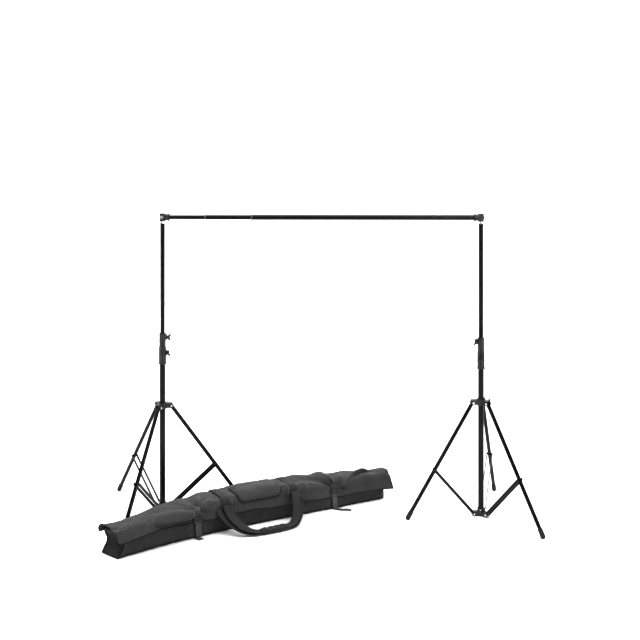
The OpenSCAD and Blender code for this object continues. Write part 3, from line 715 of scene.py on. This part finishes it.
# ---------------------------------------------------------------- bag: flap
def build_flap():
    stations = np.linspace(-12, LENGTH + 26, 250)
    across = np.linspace(0, 1, 58)
    x = np.repeat(stations[:, None], len(across), 1)
    q = back_q(x) + (edge_q(x) - back_q(x)) * across[None, :]
    # The left end's edge runs back and down from its top corner
    x = x + 12.8 * (1 - ramp1(x, -6, 60)) * ramp1(q, 0, 90)
    x = x + 12 * ramp1(x, LENGTH - 60, LENGTH + 24) * ramp1(q, -30, 90)
    pts = world(skin_point(x, q + droop(x, q), folds(x, q)))
    uvs = np.stack([x / 1000, q / 1000], -1).reshape(-1, 2)
    flap = mesh_object("bag_flap_soft", pts.reshape(-1, 3), grid_faces(*x.shape), MATERIAL["flap_nylon"], uvs)
    normals = np.array([v.normal for v in flap.data.vertices])
    if normals[:, 2].mean() < 0:
        flap.data.flip_normals()
    pin = np.zeros(x.shape)
    pin[:, 0:2] = 1.0
    pin[(q < -40)] = np.maximum(pin[(q < -40)], 0.25)
    for xs in STRAPS:
        pin[(np.abs(x - xs) < 20) & (q > -25)] = 1.0
    for xa in (REAR_TOP, REAR_END):
        pin[np.abs(x - xa) < 24] = 1.0
    pin[(x > 596) & (x < 845) & (q > -138) & (q < 30)] = 1.0
    relax_cloth(flap, pin.ravel(), 1.6, 0.03, 20, 0.006, 0.003)
    grid = np.array([v.co for v in flap.data.vertices]).reshape(*x.shape, 3)
    thicken(flap, 0.0024)
    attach(flap, "bag")
    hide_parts("bag_flap")
    # Bound edge all round the front and the two ends
    rim = np.vstack([grid[0, 4:-1], grid[:, -1], grid[-1, -2:3:-1]])
    line, run = smooth_route(rim[::2], 620)
    binding = swept("bag_flap_binding", line, run, np.tile(UP, (len(line), 1)), round_section(0.0024), PIPING)
    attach(binding, "bag")
    stitch_row("bag_flap_stitches", grid[2:-2, -3], flap, 0.0045, 0.0024)


def normals_at(obj, points):
    """Nearest surface point and outward normal on obj for each point."""
    out_p, out_n = [], []
    for p in points:
        _, loc, nor, _ = obj.closest_point_on_mesh(Vector(p))
        out_p.append(loc)
        out_n.append(nor)
    return np.array(out_p), np.array(out_n)


def stitch_row(name, path, surface, pitch, length, half=0.00035):
    """A row of thread stitches along path, lying on the surface."""
    whole = np.sum(np.linalg.norm(np.diff(path, axis=0), axis=1))
    line, _ = smooth_route(path, max(8, int(whole / pitch)))
    points, normals = normals_at(surface, line)
    d = directions(line)
    verts, faces = [], []
    for p, n, t in zip(points, normals, d):
        s = np.cross(n, t)
        s /= max(np.linalg.norm(s), 1e-9)
        base = len(verts)
        for along, lift in ((-0.5, -0.0002), (-0.3, 0.0006), (0.3, 0.0006), (0.5, -0.0002)):
            for across in (-1, 1):
                verts.append(p + t * length * along + n * lift + s * half * across)
        for k in range(3):
            faces.append((base + 2 * k, base + 2 * k + 1, base + 2 * k + 3, base + 2 * k + 2))
        faces.append((base, base + 6, base + 7, base + 1))
    obj = mesh_object(name, verts, faces, THREAD)
    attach(obj, "bag")


# ---------------------------------------------------------------- bag: pocket
def build_pocket():
    x0, x1, q0, q1 = 603.0, 838.0, -132.0, 24.0
    r = 38.0
    nx, nq = 60, 44
    u = np.linspace(-1, 1, nx)[:, None]
    v = np.linspace(-1, 1, nq)[None, :]
    # A square grid pressed into a rounded rectangle, so that the corners are round
    hx, hq = (x1 - x0) / 2, (q1 - q0) / 2
    cx = np.clip(np.abs(u * hx) - (hx - r), 0, r) + 0 * v
    cq = np.clip(np.abs(v * hq) - (hq - r), 0, r) + 0 * u
    big = np.maximum(cx, cq)
    norm = np.hypot(cx, cq)
    shrink = np.where(norm > 1e-6, big / np.maximum(norm, 1e-6), 1)
    x = (x0 + x1) / 2 + np.sign(u) * (np.minimum(np.abs(u * hx), hx - r) + cx * shrink) + 0 * v
    q = (q0 + q1) / 2 + np.sign(v) * (np.minimum(np.abs(v * hq), hq - r) + cq * shrink) + 0 * u
    edge = 1 - np.maximum(np.abs(u) + 0 * v, np.abs(v) + 0 * u)
    puff = 16.0 * (1 - np.exp(-edge * 12))
    ripple = 1.3 * np.sin(x / 27 + q / 19) * edge**0.5 + 1.6 * np.exp(-(((q + 38) / 14) ** 2)) * edge
    lift = folds(x, q) * (0.5 + 0.5 * (edge < 0.05)) + 2.0 + puff + ripple
    pts = world(skin_point(x, q, lift))
    pocket = mesh_object(
        "bag_pocket_soft",
        pts.reshape(-1, 3),
        grid_faces(nx, nq),
        MATERIAL["pocket_nylon"],
        np.stack([x / 1000, q / 1000], -1).reshape(-1, 2),
    )
    if np.array([v.normal for v in pocket.data.vertices])[:, 2].mean() < 0:
        pocket.data.flip_normals()
    pin = np.where(edge < 0.05, 1.0, 0.0).ravel()
    relax_cloth(pocket, pin, 2.0, 0.03, 16, 0.005, 0.003)
    grid = np.array([v.co for v in pocket.data.vertices]).reshape(nx, nq, 3)
    thicken(pocket, 0.002)
    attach(pocket, "bag")
    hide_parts("bag_pocket")
    rim = np.vstack([grid[:-1, 0], grid[-1, :-1], grid[:0:-1, -1], grid[0, ::-1]])
    line, run = smooth_route(rim[::2], 260)
    trim = swept("bag_pocket_binding", line, run, np.tile(UP, (len(line), 1)), round_section(0.0036), PIPING)
    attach(trim, "bag")
    # Zip along the pocket's back half: its tape and its coil
    zx = np.linspace(x0 + 26, x1 - 26, 60)
    zip_line = world(skin_point(zx, -84, folds(zx, -84) + 15.2))
    sides = np.tile(BACK, (60, 1))
    tape = swept("bag_zip_tape", zip_line, zx / 1000, sides, flat_section(0.02, 0.0014), PIPING)
    coil_line = zip_line + UP * 0.0012
    coil = swept("bag_zip_coil", coil_line, zx / 1000, sides, round_section(0.0022), MATERIAL["webbing"])
    zipper = join("bag_zip", [tape, coil])
    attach(zipper, "bag")
    stitch_row("bag_pocket_stitches", grid[3:-3, -4], pocket, 0.0045, 0.0024)


# ---------------------------------------------------------------- bag: straps, handles, grip
def ribbon(name, route, sides, wide, thick, material, count):
    """Webbing along route; sides are its across directions from start to end, and widths are in mm."""
    line, run = smooth_route(route, count)
    src = np.linspace(0, 1, len(sides))
    at = np.linspace(0, 1, count)
    s = np.stack([np.interp(at, src, np.asarray(sides)[:, k]) for k in range(3)], 1)
    across = s @ np.stack([ALONG, BACK, UP])
    return swept(name, world(line), run / 1000, across, flat_section(wide / 1000, thick / 1000), material)


def build_straps():
    made = []
    cloth = MATERIAL["strap_webbing"]
    for xs, q_top in ((STRAPS[0], 2.0), (STRAPS[1], 30.0)):
        qs = np.linspace(q_top, float(edge_q(xs)) + 3, 7)
        pts = [skin_point(xs + 1.5, q, folds(xs, q) + 3.2) for q in qs]
        foot = float(front(xs))
        pts += [
            np.array([xs + 3, foot - 2.5, flap_edge(xs) - 12]),
            np.array([xs + 4, foot - 2.6, 34]),
            np.array([xs + 5, foot - 3.4, 16]),
            np.array([xs + 6, foot - 4.2, 5.5]),
            np.array([xs + 7, foot + 8, 1.3]),
        ]
        made.append(ribbon(f"strap_{int(xs)}", pts, [(1, 0, 0)] * 2, 30, 2.0, cloth, 60))
        # Sewn-on end patch at the top, and the free tail below
        q = np.linspace(q_top - 14, q_top + 16, 5)
        patch = [skin_point(xs, t, folds(xs, t) + 4.6) for t in q]
        made.append(ribbon(f"patch_{int(xs)}", patch, [(1, 0, 0)] * 2, 33, 1.6, cloth, 12))
    x1 = STRAPS[0]
    f1 = float(front(x1))
    tail = [(x1 - 6, f1 + 6, 2.6), (x1 - 2, f1 - 10, 2.2), (x1 + 4, f1 - 24, 1.8), (x1 + 8, f1 - 34, 3.0)]
    made.append(ribbon("tail_1", tail, [(1, 0.15, 0)] * 2, 30, 1.8, cloth, 24))
    x2 = STRAPS[1]
    tail = [(2, -5, 12), (10, -16, 4.5), (26, -34, 2.4), (46, -50, 4.4), (64, -64, 2.2)]
    tail = [(x2 + x, y, z) for x, y, z in tail]
    made.append(ribbon("tail_2", tail, [(0.9, 0.5, 0.12), (0.6, 0.8, 0.1)], 20, 1.8, cloth, 40))
    straps = join("bag_straps_soft", made)
    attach(straps, "bag")
    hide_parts("bag_straps")


GRIP_Y, GRIP_Z = -122.0, 12.8
FRONT_HANDLE = [
    (500, -6, 124), (505, -14, 104), (518, -34, 78), (545, -66, 46), (582, -96, 22),
    (624, -114, 11), (664, -122, 9), (742, -123, 8.5), (820, -121, 9), (860, -108, 15),
    (894, -76, 33), (918, -42, 56), (932, -17, 76), (938, -5, 92),
]


def over_bag(x, front_z):
    """The rear handle's webbing over the bag, from low on its back to height front_z in front."""
    qs = np.concatenate([np.linspace(float(back_q(x)) - 30, -QUARTER, 7), [0.0, QUARTER, QUARTER + 12]])
    pts = [tuple(skin_point(x, q, (folds(x, q) if q > -150 else 0) + 3.4)) for q in qs]
    return pts + [(x, float(front(x)) - 8, front_z)]


def build_handles():
    side_f = [(1, 0.1, 0), (0.8, 0.6, 0), (0.3, 1, 0.1), (0, 1, 0)]
    side_f += [(0, 1, 0), (-0.2, 1, 0.2), (-0.8, 0.6, 0.1), (-1, 0.1, 0)]
    fronts = ribbon("handle_front", FRONT_HANDLE, side_f, 38, 2.6, MATERIAL["webbing"], 150)
    rear = over_bag(REAR_TOP, 124) + [(549, -38, 92), (573, -74, 58), (608, -104, 31), (640, -118, 20)]
    rear += [(668, -122, 16.5), (742, -123, 16), (820, -121, 16.5)]
    rear += [(856, -107, 28), (882, -78, 62), (896, -44, 100)] + over_bag(REAR_END, 128)[::-1]
    side_r = [(1, 0, 0)] * 6 + [(1, 0.1, 0), (0.7, 0.7, 0), (0, 1, 0.05)]
    side_r += [(0, 1, 0), (-0.6, 0.8, 0.1), (-1, 0.2, 0)] + [(-1, 0, 0)] * 6
    rears = ribbon("handle_rear", rear, side_r, 38, 2.6, MATERIAL["webbing"], 260)
    handles = join("bag_handles_soft", [fronts, rears])
    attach(handles, "bag")
    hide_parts("bag_handles")
    # Padded wrap round both ribbons, with five soft ribs
    xs = np.linspace(668, 816, 44)
    n = 28
    pts, uvs = [], []
    for i, x in enumerate(xs):
        t = i / (len(xs) - 1)
        end = min(1.0, 0.72 + 0.28 * math.sin(math.pi * min(1, min(t, 1 - t) * 9) / 2))
        rib = 1 + 0.035 * math.cos(2 * math.pi * 5 * t)
        for k in range(n):
            a = 2 * math.pi * k / n
            c, s = math.cos(a), math.sin(a)
            y = 24 * end * math.copysign(abs(c) ** 0.7, c)
            z = 12.2 * end * rib * math.copysign(abs(s) ** 0.75, s)
            pts.append((x, GRIP_Y + y - 2 * math.sin(math.pi * t), max(0.6, GRIP_Z + z)))
            uvs.append((x / 1000, k * 0.0055))
    faces = grid_faces(len(xs), n, True)
    grip = mesh_object("bag_grip_soft", world(pts), faces, MATERIAL["grip_fabric"], uvs)
    ends = np.zeros(len(pts))
    ends[: 2 * n] = ends[-2 * n :] = 1.0
    relax_cloth(grip, ends, 3.0, 0.04, 14, 0.003, 0.003, floor=0.0006)
    thicken(grip, 0.003)
    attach(grip, "bag")
    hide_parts("bag_handle_grip")


build_body()
build_flap()
build_pocket()
build_straps()
build_handles()

# ---------------------------------------------------------------- floor, world and lights
floor_mat = Mat("studio_floor")
cloud = floor_mat.noise(1.2, 3.0)
floor_mat.put(
    Base_Color=floor_mat.mix(cloud, grey(0.86, 1.0), grey(0.9, 1.0)),
    Roughness=0.62,
    Specular_IOR_Level=0.2,
    Normal=floor_mat.bump(floor_mat.noise(60.0), 0.02, 0.001),
)
# Floor that rises into a wall behind the stage
sweep = []
for t in np.linspace(0, 1, 60):
    if t < 0.6:
        sweep.append((-9 + 17 * t / 0.6, 0.0))
    else:
        a = (t - 0.6) / 0.4 * math.pi / 2
        sweep.append((8 + 5 * math.sin(a), 5 - 5 * math.cos(a)))
sweep.append((13.0, 12.0))
verts = [(x, y, z) for y, z in sweep for x in (-16.0, 16.0)]
faces = [(2 * i, 2 * i + 1, 2 * i + 3, 2 * i + 2) for i in range(len(sweep) - 1)]
floor = mesh_object("studio_floor", verts, faces, floor_mat.mat)

# The camera sees a white world; everything else gets only a little light from it
scene.world = bpy.data.worlds.new("studio_world")
scene.world.use_nodes = True
background = scene.world.node_tree.nodes["Background"]
background.inputs["Color"].default_value = (1, 1, 1, 1)
background.inputs["Strength"].default_value = 0.03
tree = scene.world.node_tree
rays = tree.nodes.new("ShaderNodeLightPath")
seen = tree.nodes.new("ShaderNodeBackground")
seen.inputs["Strength"].default_value = 1.0
pick = tree.nodes.new("ShaderNodeMixShader")
tree.links.new(rays.outputs["Is Camera Ray"], pick.inputs["Fac"])
tree.links.new(background.outputs[0], pick.inputs[1])
tree.links.new(seen.outputs[0], pick.inputs[2])
tree.links.new(pick.outputs[0], tree.nodes["World Output"].inputs["Surface"])


def softbox(name, place, target, size_x, size_y, power):
    """Rectangular area light at place, aimed at target."""
    data = bpy.data.lights.new(name, "AREA")
    data.shape = "RECTANGLE"
    data.size, data.size_y = size_x, size_y
    data.energy = power
    light = bpy.data.objects.new(name, data)
    light.location = place
    light.rotation_euler = (Vector(target) - Vector(place)).to_track_quat("-Z", "Y").to_euler()
    scene.collection.objects.link(light)


softbox("key_top", (0.6, 0.6, 5.0), (0, 0.0, 0), 7.5, 4.6, 430)
softbox("key_left", (-3.4, 0.9, 2.6), (-0.3, -0.1, 0.1), 0.9, 1.2, 80)
softbox("floor_front", (0.2, -1.7, 3.6), (0.2, -1.3, 0.0), 6.0, 1.0, 170)
softbox("strip_left", (-3.6, -2.6, 1.3), (0, 0, 0.9), 0.16, 2.4, 110)
softbox("strip_right", (4.2, -2.0, 1.5), (0, 0, 0.9), 0.16, 2.4, 110)
softbox("strip_bar", (2.6, -5.2, 1.75), (0.3, 0.1, 1.4), 3.6, 0.16, 150)
softbox("backdrop", (0.0, 5.5, 6.0), (0, 9, 0.0), 16.0, 5.0, 2000)

scene.view_settings.view_transform = "Standard"
scene.view_settings.exposure = -0.25
scene.view_settings.gamma = 0.7
